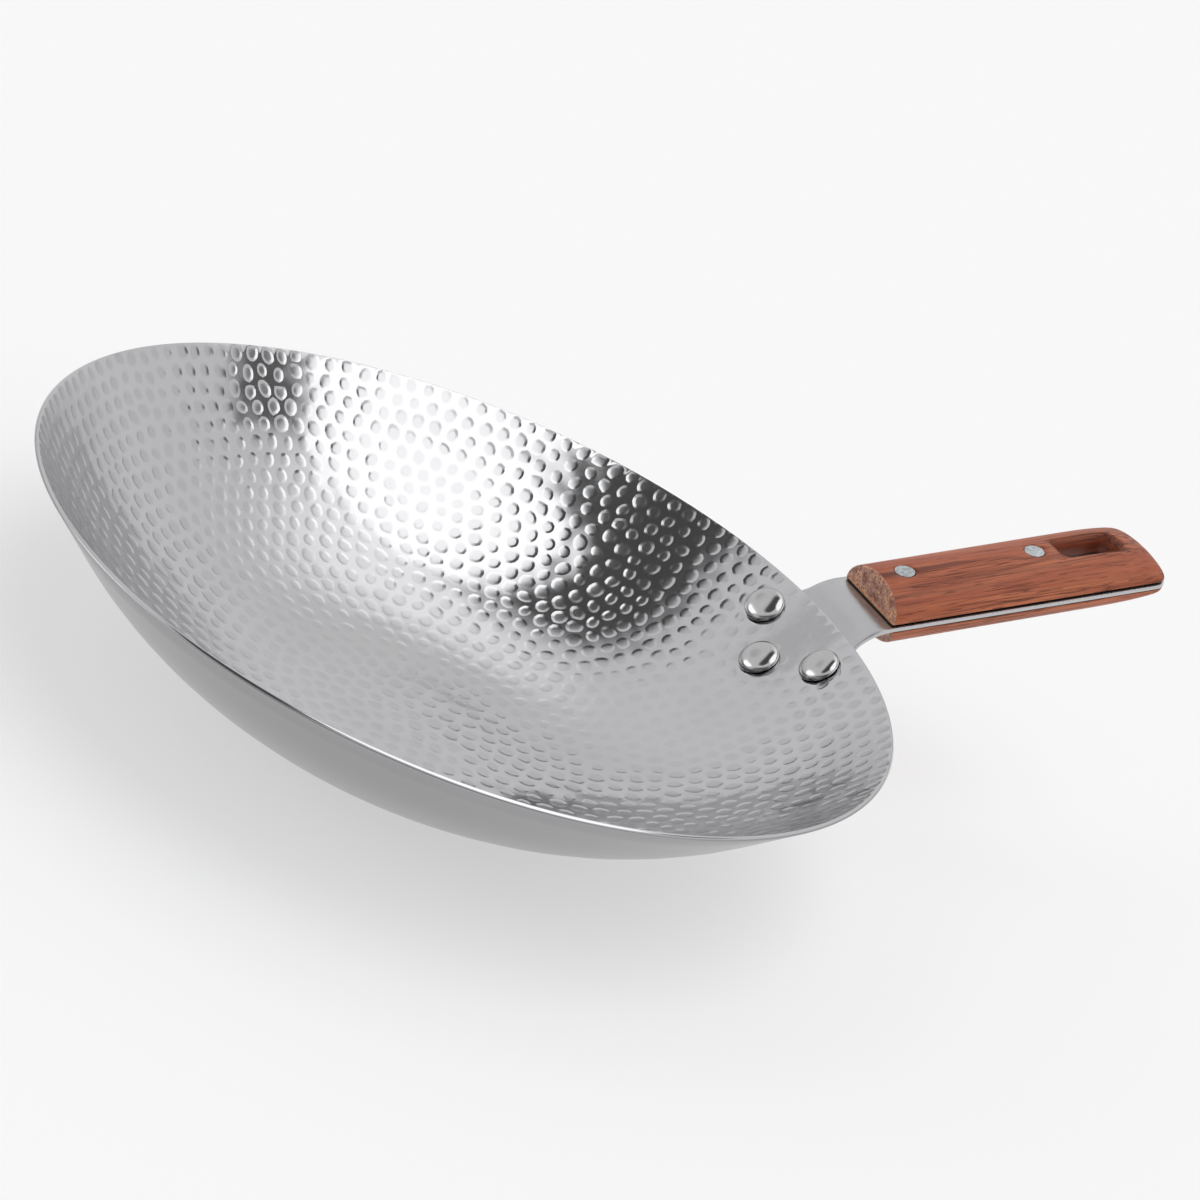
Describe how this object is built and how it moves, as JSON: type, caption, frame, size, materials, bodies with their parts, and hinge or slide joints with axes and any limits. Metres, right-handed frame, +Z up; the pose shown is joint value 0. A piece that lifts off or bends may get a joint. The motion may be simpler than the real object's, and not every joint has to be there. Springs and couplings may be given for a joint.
{
  "type": "wok",
  "caption": "Round-walled hammered stainless steel wok with a small flat base, a riveted steel tang, wooden grip scales and a hanging slot.",
  "frame": {"origin": "centre of the underside of the flat base", "axes": "+Z up out of the bowl; +X along the handle; the rim lies level"},
  "size_m": [0.4304, 0.3, 0.1113],
  "materials": {
    "hammered_steel": "satin, hammered inside",
    "strip_steel": "satin",
    "rivet_steel": "polished",
    "reddish_wood": "oiled, open grain",
    "pin_metal": "ground flush, satin"
  },
  "bodies": {
    "root": {"bowl": "hammered_steel", "handle_tang": "strip_steel", "upper_scale": "reddish_wood", "lower_scale": "reddish_wood", "bowl_rivet_left": "rivet_steel", "bowl_rivet_right": "rivet_steel", "bowl_rivet_lower": "rivet_steel", "handle_pin_front": "pin_metal", "handle_pin_rear": "pin_metal"}
  },
  "joints": []
}
